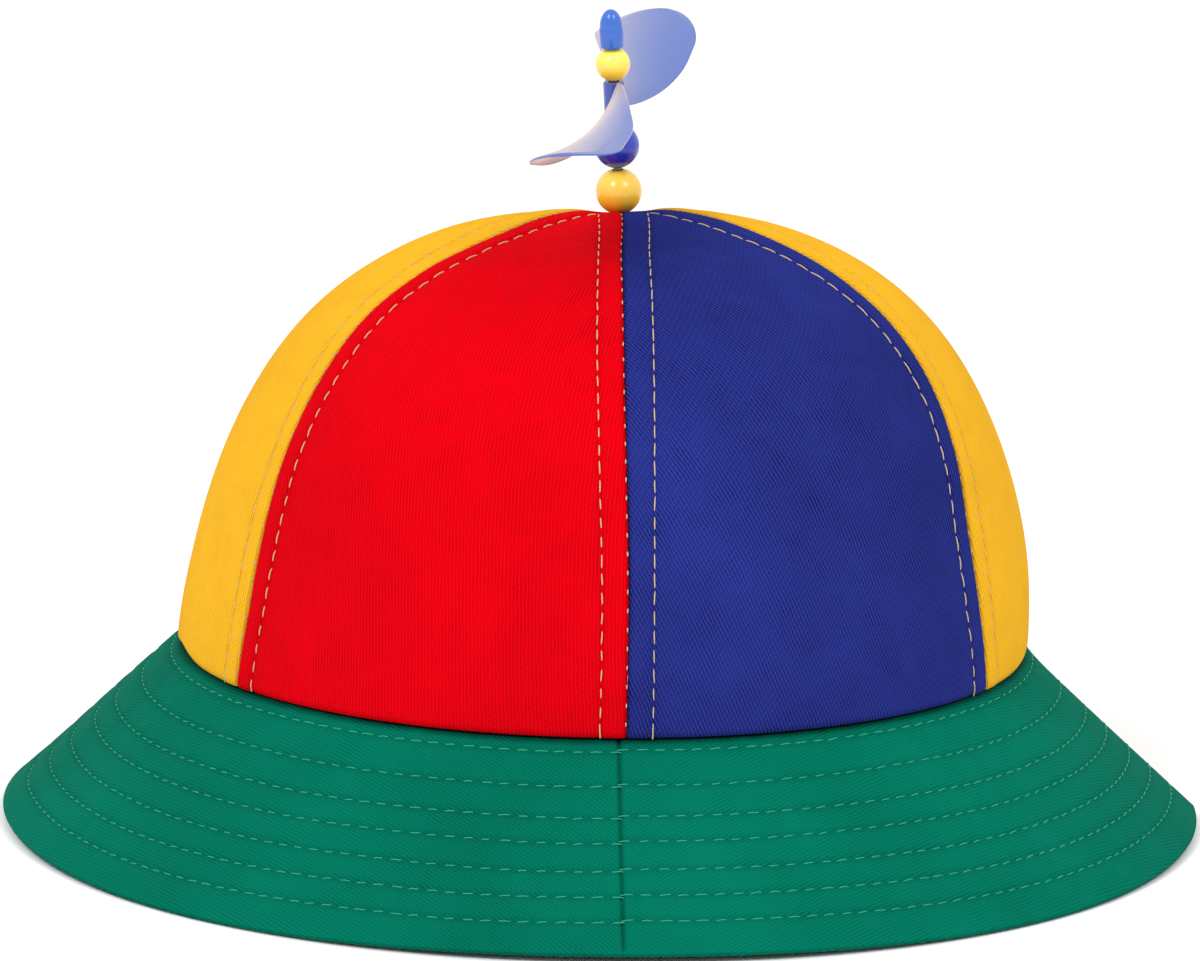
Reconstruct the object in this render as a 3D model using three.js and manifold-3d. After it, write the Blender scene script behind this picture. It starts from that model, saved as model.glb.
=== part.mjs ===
// A six-panel propeller hat: a round cloth crown in three colours, a sloping stitched brim,
// and a string of beads on a leaning pin that carries a two-blade propeller.
//
// Millimetres, +Z up. The hat rests on the rim of its brim at Z = 0, and the crown's front seam
// faces -Y.

import * as THREE from "three";
import { mergeVertices } from "three/addons/utils/BufferGeometryUtils.js";
import Module from "manifold-3d";

const wasm = await Module();
wasm.setup();

// Crown
const HEAD_RADIUS = 94.3; // outside of the crown, where it meets the brim
const CROWN_HEIGHT = 97.1; // from that seam to the top, before the pin draws it down
const CROWN_WALL = 1.6;
const CROWN_ROUND_OUT = 2.84; // how square the dome is across: 2 would be an ellipse
const CROWN_ROUND_UP = 1.83; // the same, upwards
const CROWN_DRIFT = 2.4; // how far the top stands to the +X side of the brim's centre
const CROWN_SLOUCH = THREE.MathUtils.degToRad(12); // how far the top leans towards the back
const SLOUCH_POWER = 4; // how much of the slouch lies near the top
const PIN_DIMPLE = 1.3; // how far the pin draws the cloth down
const PIN_DIMPLE_RADIUS = 12;
const PANEL_PUFF = 0.6; // how far the seams lie in from the middle of the panels
const PANEL_COLUMNS = 12;
const PANEL_ROWS = 18;

// Brim
const BRIM_RADIUS = 132.8;
const BRIM_DROP = 38.8; // from the seam down to the resting plane
const BRIM_WALL = 2.2;
const BRIM_EDGE_ROUND = 0.9;
const BRIM_EDGE_STEPS = 5;
const BRIM_TUCK = 0.7; // how far the brim's top edge stands in from the crown's lower edge
const BRIM_SIDES = 72;

// Pin and the beads on it
const PIN_LEAN = THREE.MathUtils.degToRad(3.8); // the pin leans towards -X
const PIN_TILT = THREE.MathUtils.degToRad(6); // and towards -Y
const PIN_RADIUS = 0.9;
const PIN_HOLE_RADIUS = 1.5; // the hole in the cloth
const PIN_HEAD_RADIUS = 4;
const PIN_HEAD_THICKNESS = 1.2;
const PIN_SIDES = 16;
const BEAD_BORE_RADIUS = 1.25;
const BASE_BEAD_RADIUS = 5.1;
const MIDDLE_BEAD_RADIUS = 5;
const TOP_BEAD_RADIUS = 3.8;
const BEAD_SIDES = 16;
const BEAD_STEPS = 10;
const CAP_RADIUS = 2.65;
const CAP_SKIRT = 4.5; // the straight part of the cap
const CAP_NOSE = 4; // its round nose
const CAP_NOSE_STEPS = 7;
const CAP_SOCKET_DEPTH = 5; // how deep the pin goes in

// Propeller: a hub with two twisted paddles, moulded in one piece
const HUB_RADIUS = 2.35;
const HUB_LENGTH = 9.5;
const BLADE_REACH = 59.5; // from the axis to a tip
const BLADE_ROOT = 1.9; // from the axis to where a blade starts, inside the hub's wall
const BLADE_CHORD = 21.4; // the widest place of a paddle
const BLADE_THICKNESS = 0.8;
const BLADE_ROOT_PITCH = THREE.MathUtils.degToRad(80.5);
const BLADE_TIP_PITCH = THREE.MathUtils.degToRad(5.8);
const BLADE_TWIST_POWER = 1.3; // how early along its length the blade flattens out
const BLADE_HOLLOW = 1.9; // how far the chord's ends bend down from its middle
const BLADE_RISE = 5.3; // how far the tips stand above the roots
const BLADE_DROP = 0.35; // how far the roots lie below the middle of the hub
const BLADE_TURN = THREE.MathUtils.degToRad(15.3); // from -Y towards -X to the front blade
const BLADE_STATIONS = 22;
const BLADE_TIP_STATIONS = 8;
const BLADE_COLUMNS = 8;

// Outline of a blade: shares of its reach, and of its chord to each side of its middle line
const BLADE_OUTLINE = [
  { along: 0, lead: 0.25, trail: 0.06 },
  { along: 0.12, lead: 0.36, trail: 0.15 },
  { along: 0.28, lead: 0.435, trail: 0.26 },
  { along: 0.46, lead: 0.51, trail: 0.36 },
  { along: 0.64, lead: 0.58, trail: 0.415 },
  { along: 0.8, lead: 0.56, trail: 0.41 },
  { along: 0.92, lead: 0.46, trail: 0.235 },
];

// Gaps
const SEAM_GAP = 0.3; // between pieces that are sewn together or rest on each other
const TURN_GAP = 0.3; // between the hub and the beads, and between the beads

const MERGE_DISTANCE = 1e-3; // points closer than this are one
const NUDGE = 1e-3; // small step that gives a surface's directions

const PANELS = [
  { name: "crown_panel_front_right", color: 0x2b3386 },
  { name: "crown_panel_right", color: 0xf9ba2a },
  { name: "crown_panel_back_right", color: 0xe8051a },
  { name: "crown_panel_back_left", color: 0x2b3386 },
  { name: "crown_panel_left", color: 0xf9ba2a },
  { name: "crown_panel_front_left", color: 0xe8051a },
];
const PANEL_ANGLE = (2 * Math.PI) / PANELS.length;
const FRONT = -Math.PI / 2; // the direction of the front seam

const CROWN_BASE = BRIM_DROP + SEAM_GAP;
const CROWN_TOP = CROWN_BASE + CROWN_HEIGHT - PIN_DIMPLE;

// A closed shell between two grids of points. At depth 0, the columns' direction crossed with the
// rows' direction points out of the shell; depth 1 is its other face.
function shell(rows, columns, pointAt) {
  const positions = [];
  for (const depth of [0, 1]) {
    for (let row = 0; row <= rows; row += 1) {
      for (let column = 0; column <= columns; column += 1) {
        positions.push(...pointAt(row / rows, column / columns, depth).toArray());
      }
    }
  }
  const vertex = (row, column, depth) =>
    (depth * (rows + 1) + row) * (columns + 1) + column;
  const indices = [];
  const face = (a, b, c, d) => indices.push(a, b, c, a, c, d);
  for (let row = 0; row < rows; row += 1) {
    for (let column = 0; column < columns; column += 1) {
      face(
        vertex(row, column, 0),
        vertex(row, column + 1, 0),
        vertex(row + 1, column + 1, 0),
        vertex(row + 1, column, 0),
      );
      face(
        vertex(row, column, 1),
        vertex(row + 1, column, 1),
        vertex(row + 1, column + 1, 1),
        vertex(row, column + 1, 1),
      );
    }
  }
  for (let row = 0; row < rows; row += 1) {
    face(vertex(row, 0, 1), vertex(row, 0, 0), vertex(row + 1, 0, 0), vertex(row + 1, 0, 1));
    face(
      vertex(row, columns, 0),
      vertex(row, columns, 1),
      vertex(row + 1, columns, 1),
      vertex(row + 1, columns, 0),
    );
  }
  for (let column = 0; column < columns; column += 1) {
    face(
      vertex(0, column, 1),
      vertex(0, column + 1, 1),
      vertex(0, column + 1, 0),
      vertex(0, column, 0),
    );
    face(
      vertex(rows, column, 0),
      vertex(rows, column + 1, 0),
      vertex(rows, column + 1, 1),
      vertex(rows, column, 1),
    );
  }
  const geometry = new THREE.BufferGeometry();
  geometry.setAttribute("position", new THREE.Float32BufferAttribute(positions, 3));
  geometry.setIndex(indices);
  return geometry;
}

// A turned piece from its closed outline, given as radius and height going round anticlockwise.
function turned(outline, sides) {
  const points = outline.map(([radius, height]) => new THREE.Vector2(radius, height));
  return new THREE.LatheGeometry(points, sides).rotateX(Math.PI / 2);
}

function solid(geometry) {
  const bare = geometry.clone();
  bare.deleteAttribute("normal");
  bare.deleteAttribute("uv");
  const merged = mergeVertices(bare, MERGE_DISTANCE);
  const vertProperties = new Float32Array(merged.getAttribute("position").array);
  const triVerts = new Uint32Array(merged.index.array);
  return new wasm.Manifold(new wasm.Mesh({ numProp: 3, vertProperties, triVerts }));
}

function geometryOf(body) {
  const mesh = body.getMesh();
  const geometry = new THREE.BufferGeometry();
  geometry.setAttribute("position", new THREE.BufferAttribute(mesh.vertProperties, 3));
  geometry.setIndex(new THREE.BufferAttribute(mesh.triVerts, 1));
  return geometry;
}

function piece(name, geometry, color, roughness) {
  geometry.computeVertexNormals();
  const material = new THREE.MeshStandardMaterial({ color, roughness, metalness: 0 });
  const mesh = new THREE.Mesh(geometry, material);
  mesh.name = name;
  return mesh;
}

// The dome's outline and the direction it faces there. Rise goes from 0 at the brim to 1 at the
// hole for the pin.
function dome(rise) {
  const holeShare = PIN_HOLE_RADIUS / HEAD_RADIUS;
  const angle = rise * Math.acos(holeShare ** (CROWN_ROUND_OUT / 2));
  const across = Math.cos(angle) ** (2 / CROWN_ROUND_OUT);
  const up = Math.sin(angle) ** (2 / CROWN_ROUND_UP);
  const faceOut = (CROWN_ROUND_OUT / HEAD_RADIUS) * across ** (CROWN_ROUND_OUT - 1);
  const faceUp = (CROWN_ROUND_UP / CROWN_HEIGHT) * up ** (CROWN_ROUND_UP - 1);
  const facing = new THREE.Vector2(faceOut, faceUp).normalize();
  return { radius: HEAD_RADIUS * across, height: CROWN_HEIGHT * up, facing };
}

// One of the six cloth panels, between two seams
function panelGeometry(middle) {
  return shell(PANEL_ROWS, PANEL_COLUMNS, (rise, column, depth) => {
    const side = 2 * column - 1;
    const { radius, height, facing } = dome(rise);
    const inward = PANEL_PUFF * side ** 2 * Math.sin(Math.PI * rise) + CROWN_WALL * depth;
    const distance = radius - inward * facing.x;
    const halfAngle = PANEL_ANGLE / 2 - Math.asin(SEAM_GAP / 2 / distance);
    const direction = middle + side * halfAngle;
    const heightShare = height / CROWN_HEIGHT;
    const drift = CROWN_DRIFT * (1 - (1 - heightShare) ** 3);
    const forward = -distance * Math.sin(direction);
    const slouch = Math.tan(CROWN_SLOUCH) * forward * heightShare ** SLOUCH_POWER;
    const dimple = PIN_DIMPLE * Math.max(0, 1 - (radius / PIN_DIMPLE_RADIUS) ** 2) ** 2;
    return new THREE.Vector3(
      distance * Math.cos(direction) + drift,
      -forward,
      CROWN_BASE + height - inward * facing.y + slouch - dimple,
    );
  });
}

// The brim is a cone of even thickness whose rounded edge stands on a narrow flat ring
function brimGeometry() {
  const top = new THREE.Vector2(HEAD_RADIUS - BRIM_TUCK, BRIM_DROP);
  const edge = new THREE.Vector2(BRIM_RADIUS - BRIM_EDGE_ROUND, BRIM_EDGE_ROUND);
  const toEdge = edge.clone().sub(top);
  const slope = Math.atan2(-toEdge.y, toEdge.x) - Math.asin(BRIM_EDGE_ROUND / toEdge.length());
  const wallAcross = BRIM_WALL / Math.sin(slope);
  const innerTop = top.x - wallAcross;
  const innerFoot = innerTop + BRIM_DROP / Math.tan(slope);
  const outline = [[innerFoot, 0]];
  const roundEnd = Math.PI / 2 - slope;
  for (let step = 0; step <= BRIM_EDGE_STEPS; step += 1) {
    const angle = -Math.PI / 2 + (step / BRIM_EDGE_STEPS) * (roundEnd + Math.PI / 2);
    outline.push([
      edge.x + BRIM_EDGE_ROUND * Math.cos(angle),
      edge.y + BRIM_EDGE_ROUND * Math.sin(angle),
    ]);
  }
  outline.push([top.x, top.y], [innerTop, BRIM_DROP], [innerFoot, 0]);
  return turned(outline, BRIM_SIDES);
}

// How far above a drilled bead's middle the rim of its bore lies
function boreRim(radius) {
  return Math.sqrt(radius ** 2 - BEAD_BORE_RADIUS ** 2);
}

function beadGeometry(radius) {
  const reach = Math.acos(BEAD_BORE_RADIUS / radius);
  const outline = [];
  for (let step = 0; step <= BEAD_STEPS; step += 1) {
    const angle = -reach + (step / BEAD_STEPS) * 2 * reach;
    outline.push([radius * Math.cos(angle), radius * Math.sin(angle)]);
  }
  outline.push(outline[0]);
  return turned(outline, BEAD_SIDES);
}

// The cap is a blunt bullet with a socket for the pin
function capGeometry() {
  const outline = [
    [0, CAP_SOCKET_DEPTH],
    [BEAD_BORE_RADIUS, CAP_SOCKET_DEPTH],
    [BEAD_BORE_RADIUS, 0],
    [CAP_RADIUS, 0],
  ];
  for (let step = 0; step < CAP_NOSE_STEPS; step += 1) {
    const angle = (step / CAP_NOSE_STEPS) * (Math.PI / 2);
    outline.push([CAP_RADIUS * Math.cos(angle), CAP_SKIRT + CAP_NOSE * Math.sin(angle)]);
  }
  outline.push([0, CAP_SKIRT + CAP_NOSE]);
  return turned(outline, BEAD_SIDES);
}

// Width of a blade at a share of its reach, to the leading or the trailing side
function bladeWidth(along, side) {
  const last = BLADE_OUTLINE[BLADE_OUTLINE.length - 1];
  if (along > last.along) {
    const pastLast = (along - last.along) / (1 - last.along);
    return BLADE_CHORD * last[side] * Math.sqrt(Math.max(0, 1 - pastLast ** 2));
  }
  const after = Math.max(1, BLADE_OUTLINE.findIndex((row) => row.along >= along));
  const before = BLADE_OUTLINE[after - 1];
  const share = (along - before.along) / (BLADE_OUTLINE[after].along - before.along);
  return BLADE_CHORD * THREE.MathUtils.lerp(before[side], BLADE_OUTLINE[after][side], share);
}

// Shares of the reach where a blade's sections lie, closer together at its round tip
function bladeStations() {
  const lastRow = BLADE_OUTLINE[BLADE_OUTLINE.length - 1].along;
  const straight = BLADE_STATIONS - BLADE_TIP_STATIONS;
  const stations = [];
  for (let step = 0; step < straight; step += 1) {
    stations.push((lastRow * step) / straight);
  }
  for (let step = 0; step < BLADE_TIP_STATIONS; step += 1) {
    const angle = ((step + 0.5) / BLADE_TIP_STATIONS) * (Math.PI / 2);
    stations.push(lastRow + (1 - lastRow) * Math.sin(angle));
  }
  return stations;
}

// A point of the blade's middle surface; chord is the distance from its middle line
function bladeSurface(along, chord) {
  const twist = Math.max(0, 1 - along) ** BLADE_TWIST_POWER;
  const pitch = BLADE_TIP_PITCH + (BLADE_ROOT_PITCH - BLADE_TIP_PITCH) * twist;
  const bend = -BLADE_HOLLOW * (chord / (BLADE_CHORD / 2)) ** 2;
  return new THREE.Vector3(
    chord * Math.cos(pitch) - bend * Math.sin(pitch),
    -(BLADE_ROOT + along * (BLADE_REACH - BLADE_ROOT)),
    chord * Math.sin(pitch) + bend * Math.cos(pitch) + BLADE_RISE * along ** 2 - BLADE_DROP,
  );
}

function bladeGeometry() {
  const stations = bladeStations();
  const rows = stations.length - 1;
  return shell(rows, BLADE_COLUMNS, (row, column, depth) => {
    const along = stations[Math.round(row * rows)];
    const lead = bladeWidth(along, "lead");
    const trail = bladeWidth(along, "trail");
    const chord = THREE.MathUtils.lerp(-trail, lead, column);
    const here = bladeSurface(along, chord);
    const acrossChord = bladeSurface(along, chord + NUDGE).sub(here);
    const alongBlade = bladeSurface(along + NUDGE, chord).sub(here);
    const facing = acrossChord.cross(alongBlade).normalize();
    return here.addScaledVector(facing, (0.5 - depth) * BLADE_THICKNESS);
  });
}

function propellerGeometry() {
  const half = HUB_LENGTH / 2;
  const hub = turned(
    [
      [BEAD_BORE_RADIUS, -half],
      [HUB_RADIUS, -half],
      [HUB_RADIUS, half],
      [BEAD_BORE_RADIUS, half],
      [BEAD_BORE_RADIUS, -half],
    ],
    BEAD_SIDES,
  );
  let propeller = solid(hub);
  for (const halfTurn of [0, Math.PI]) {
    propeller = propeller.add(solid(bladeGeometry().rotateZ(halfTurn - BLADE_TURN)));
  }
  return geometryOf(propeller);
}

const hat = new THREE.Group();
PANELS.forEach(({ name, color }, index) => {
  const middle = FRONT + (index + 0.5) * PANEL_ANGLE;
  hat.add(piece(name, panelGeometry(middle), color, 0.85));
});
hat.add(piece("brim", brimGeometry(), 0x047860, 0.85));

// The stack is built upright above the top of the crown, and then leans as one
const stack = new THREE.Group();
stack.position.set(CROWN_DRIFT, 0, CROWN_TOP);
stack.rotation.set(PIN_TILT, -PIN_LEAN, 0);
hat.add(stack);

const clothSlant = PIN_TILT + CROWN_SLOUCH; // between the pin and the cloth's own direction
const baseBeadHeight = (BASE_BEAD_RADIUS + SEAM_GAP) / Math.cos(clothSlant);
const middleBeadHeight = baseBeadHeight + BASE_BEAD_RADIUS + TURN_GAP + MIDDLE_BEAD_RADIUS;
const hubBottom = middleBeadHeight + boreRim(MIDDLE_BEAD_RADIUS) + TURN_GAP;
const hubMiddle = hubBottom + HUB_LENGTH / 2;
const topBeadHeight = hubBottom + HUB_LENGTH + TURN_GAP + boreRim(TOP_BEAD_RADIUS);
const capBottom = topBeadHeight + boreRim(TOP_BEAD_RADIUS) + TURN_GAP;
const pinTop = capBottom + CAP_SOCKET_DEPTH - SEAM_GAP;
const headDip = PIN_HEAD_RADIUS * Math.sin(clothSlant + PIN_LEAN);
const headTop = -CROWN_WALL - SEAM_GAP - headDip;

const pin = turned(
  [
    [0, headTop - PIN_HEAD_THICKNESS],
    [PIN_HEAD_RADIUS, headTop - PIN_HEAD_THICKNESS],
    [PIN_HEAD_RADIUS, headTop],
    [PIN_RADIUS, headTop],
    [PIN_RADIUS, pinTop],
    [0, pinTop],
  ],
  PIN_SIDES,
);
stack.add(piece("axle_pin", pin, 0x8f9296, 0.4));

const BEADS = [
  { name: "bead_base", radius: BASE_BEAD_RADIUS, height: baseBeadHeight, color: 0xfbd65f },
  { name: "bead_middle", radius: MIDDLE_BEAD_RADIUS, height: middleBeadHeight, color: 0x2d37b4 },
  { name: "bead_top", radius: TOP_BEAD_RADIUS, height: topBeadHeight, color: 0xfcea7f },
];
for (const { name, radius, height, color } of BEADS) {
  const bead = piece(name, beadGeometry(radius), color, 0.25);
  bead.position.z = height;
  stack.add(bead);
}

const propeller = piece("propeller", propellerGeometry(), 0x8392d4, 0.35);
propeller.position.z = hubMiddle;
stack.add(propeller);

const cap = piece("axle_cap", capGeometry(), 0x3e75cf, 0.25);
cap.position.z = capBottom;
stack.add(cap);

export default hat;
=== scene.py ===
# %% [markdown]
# # A propeller hat
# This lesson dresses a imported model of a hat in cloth, thread and moulded plastic. The model
# already has every piece at its real size, so each new piece is built exactly where its plain
# solid lies and then stands in for it. Lengths are in metres, Z is up, and the front is -Y.

# %% Load the model
import math

import bpy
import numpy as np
from mathutils import Matrix, Vector


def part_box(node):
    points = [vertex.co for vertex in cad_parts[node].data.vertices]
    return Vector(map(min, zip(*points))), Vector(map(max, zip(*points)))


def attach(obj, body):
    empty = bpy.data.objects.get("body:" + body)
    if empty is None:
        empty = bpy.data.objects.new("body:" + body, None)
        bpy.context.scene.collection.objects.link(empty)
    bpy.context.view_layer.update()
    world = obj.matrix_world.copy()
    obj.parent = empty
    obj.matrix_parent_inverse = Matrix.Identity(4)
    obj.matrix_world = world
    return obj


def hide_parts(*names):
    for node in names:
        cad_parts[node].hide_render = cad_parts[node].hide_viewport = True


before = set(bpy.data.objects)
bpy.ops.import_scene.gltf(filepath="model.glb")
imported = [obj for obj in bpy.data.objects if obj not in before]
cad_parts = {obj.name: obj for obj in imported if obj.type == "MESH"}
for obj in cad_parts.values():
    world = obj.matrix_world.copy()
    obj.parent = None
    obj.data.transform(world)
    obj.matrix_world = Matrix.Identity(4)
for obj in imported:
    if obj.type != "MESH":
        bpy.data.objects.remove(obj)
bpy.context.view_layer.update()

MM = 0.001

# %% [markdown]
# ## Camera
# The picture was taken from in front, a little above the hat and a little to its left, with a
# long lens. The place was worked out from the two ellipses that the brim and the crown's lower
# seam draw. The picture hangs slightly askew, so the camera is rolled by the same small angle.

# %% Place the camera
CAMERA_DISTANCE = 2.0
CAMERA_TURN = math.radians(3.7)
CAMERA_RISE = math.radians(11.7)
CAMERA_ROLL = math.radians(0.88)
CAMERA_LENS = 271.1  # millimetres, on a sensor 36 mm wide
CAMERA_AIM = Vector((-1.08 * MM, 0.07 * MM, 75.4 * MM))


def place_camera():
    backward = Vector((
        -math.sin(CAMERA_TURN) * math.cos(CAMERA_RISE),
        -math.cos(CAMERA_TURN) * math.cos(CAMERA_RISE),
        math.sin(CAMERA_RISE),
    ))
    level = Vector((0, 0, 1)).cross(backward).normalized()
    upward = backward.cross(level)
    right = level * math.cos(CAMERA_ROLL) + upward * math.sin(CAMERA_ROLL)
    top = upward * math.cos(CAMERA_ROLL) - level * math.sin(CAMERA_ROLL)
    camera = bpy.data.objects.new("camera", bpy.data.cameras.new("camera"))
    camera.data.lens = CAMERA_LENS
    camera.data.sensor_width = 36
    camera.data.clip_end = 100
    turn = Matrix((right, top, backward)).transposed().to_4x4()
    camera.matrix_world = Matrix.Translation(CAMERA_AIM + backward * CAMERA_DISTANCE) @ turn
    bpy.context.scene.collection.objects.link(camera)
    bpy.context.scene.camera = camera
    return camera


camera = place_camera()
print("camera stands at", [round(v, 3) for v in camera.matrix_world.translation])

# %% [markdown]
# ## Helpers for meshes
# Most pieces are walls: a grid of points outside, a second one inside, and an edge all round.
# One function joins two such grids into a closed mesh, so that cloth and plastic have a real
# thickness. Places on the flat cloth go into a UV map, in metres, for the weave to follow.

# %% Meshes from grids
def add_object(name, mesh, material):
    piece = bpy.data.objects.new(name, mesh)
    bpy.context.scene.collection.objects.link(piece)
    mesh.materials.append(material)
    mesh.polygons.foreach_set("use_smooth", [True] * len(mesh.polygons))
    return piece


def wall_mesh(name, outer, inner, closed_round=False):
    """Closed mesh between two grids of points, whose columns can meet in a ring."""
    rows, columns = outer.shape[:2]
    number = np.arange(rows * columns).reshape(rows, columns)
    if closed_round:
        number = np.concatenate([number, number[:, :1]], axis=1)
    far = number + rows * columns
    quads = []

    def add_quads(a, b, c, d):
        quads.append(np.stack([a.ravel(), b.ravel(), c.ravel(), d.ravel()], axis=1))

    add_quads(number[:-1, :-1], number[:-1, 1:], number[1:, 1:], number[1:, :-1])
    add_quads(far[:-1, :-1], far[1:, :-1], far[1:, 1:], far[:-1, 1:])
    add_quads(far[0, :-1], far[0, 1:], number[0, 1:], number[0, :-1])
    add_quads(number[-1, :-1], number[-1, 1:], far[-1, 1:], far[-1, :-1])
    if not closed_round:
        add_quads(far[:-1, 0], number[:-1, 0], number[1:, 0], far[1:, 0])
        add_quads(number[:-1, -1], far[:-1, -1], far[1:, -1], number[1:, -1])
    points = np.concatenate([outer.reshape(-1, 3), inner.reshape(-1, 3)])
    mesh = bpy.data.meshes.new(name)
    mesh.from_pydata(points.tolist(), [], np.concatenate(quads).tolist())
    return mesh


def write_cloth_map(mesh, across, along):
    """UV map in metres; each argument has one value for each vertex."""
    layer = mesh.uv_layers.new(name="cloth")
    corner = np.empty(len(mesh.loops), dtype=np.int32)
    mesh.loops.foreach_get("vertex_index", corner)
    pairs = np.stack([across[corner], along[corner]], axis=1)
    layer.data.foreach_set("uv", pairs.ravel().astype(np.float32))


def write_mask(mesh, name, values):
    layer = mesh.attributes.new(name, "FLOAT", "POINT")
    layer.data.foreach_set("value", np.asarray(values, dtype=np.float32))


def smooth_step(value):
    value = np.clip(value, 0, 1)
    return value * value * (3 - 2 * value)


def smooth_curve(x, xs, ys):
    """Smooth curve through a few points, level at the last one."""
    slopes = np.gradient(ys, xs)
    slopes[-1] = 0
    after = np.clip(np.searchsorted(xs, x), 1, len(xs) - 1)
    before = after - 1
    step = np.take(xs, after) - np.take(xs, before)
    t = (x - np.take(xs, before)) / step
    return (
        (2 * t**3 - 3 * t**2 + 1) * np.take(ys, before)
        + (t**3 - 2 * t**2 + t) * step * np.take(slopes, before)
        + (3 * t**2 - 2 * t**3) * np.take(ys, after)
        + (t**3 - t**2) * step * np.take(slopes, after)
    )


def ripples(across, along, size, seed, waves=9):
    """Soft unevenness from -1 to 1: a few plane waves of about that size, in random directions."""
    random = np.random.default_rng(seed)
    total = np.zeros(np.broadcast(across, along).shape)
    for _ in range(waves):
        direction = random.uniform(0, 2 * math.pi)
        length = size * random.uniform(0.7, 1.6)
        start = random.uniform(0, 2 * math.pi)
        place = across * math.cos(direction) + along * math.sin(direction)
        total = total + np.sin(place * 2 * math.pi / length + start)
    return total / math.sqrt(waves * 2)


print("mesh helpers are ready")

# %% [markdown]
# ## Helpers for materials
# Every finish here is a network of nodes. A few functions keep the networks short to write:
# they add a node and wire it, do one sum, or start a group with named inputs and outputs.

# %% Nodes and groups
def connect(tree, socket, value):
    if isinstance(value, bpy.types.NodeSocket):
        tree.links.new(value, socket)
    else:
        socket.default_value = value


def add_node(tree, kind, inputs=None, **settings):
    node = tree.nodes.new(kind)
    for setting, value in settings.items():
        setattr(node, setting, value)
    for socket, value in (inputs or {}).items():
        connect(tree, node.inputs[socket], value)
    return node


def calculate(tree, operation, *values):
    return add_node(tree, "ShaderNodeMath", dict(enumerate(values)), operation=operation).outputs[0]


def blend_colours(tree, share, first, second):
    node = tree.nodes.new("ShaderNodeMix")
    node.data_type = "RGBA"
    colours = [socket for socket in node.inputs if socket.type == "RGBA"]
    connect(tree, node.inputs[0], share)
    connect(tree, colours[0], first)
    connect(tree, colours[1], second)
    return next(socket for socket in node.outputs if socket.type == "RGBA")


def noise(tree, place, scale, detail, roughness=0.5):
    inputs = {"Vector": place, "Scale": scale, "Detail": detail, "Roughness": roughness}
    return add_node(tree, "ShaderNodeTexNoise", inputs).outputs[0]


def around_middle(tree, value, strength):
    """A value from 0 to 1 turned into one that swings both ways around nought."""
    return calculate(tree, "MULTIPLY", calculate(tree, "SUBTRACT", value, 0.5), strength)


def start_group(name, inputs, outputs, kind="ShaderNodeTree"):
    tree = bpy.data.node_groups.new(name, kind)
    for label, socket_type, default in inputs:
        socket = tree.interface.new_socket(label, in_out="INPUT", socket_type=socket_type)
        if default is not None:
            socket.default_value = default
    for label, socket_type in outputs:
        tree.interface.new_socket(label, in_out="OUTPUT", socket_type=socket_type)
    return tree, tree.nodes.new("NodeGroupInput").outputs, tree.nodes.new("NodeGroupOutput").inputs


def use_group(tree, group, inputs):
    return add_node(tree, "ShaderNodeGroup", inputs, node_tree=group).outputs


def start_material(name):
    material = bpy.data.materials.new(name)
    material.use_nodes = True
    tree = material.node_tree
    return material, tree, tree.nodes["Principled BSDF"].inputs


def linear(red, green, blue):
    """The colour as light, from how it looks on a screen, each part from 0 to 255."""
    parts = [v / 255 for v in (red, green, blue)]
    lit = [v / 12.92 if v <= 0.04045 else ((v + 0.055) / 1.055) ** 2.4 for v in parts]
    return (*lit, 1.0)


print("material helpers are ready")

# %% [markdown]
# ## Twill
# The cloth is cotton twill: steep slanting ribs, about 0.8 mm apart, that catch the light on
# one side. A photograph could be laid over it, but ribs drawn by arithmetic stay sharp at any
# distance. They come and go in patches, as on cloth that has been handled, and they follow the
# flat cloth, so on the cone of the brim they turn slowly round.

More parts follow.
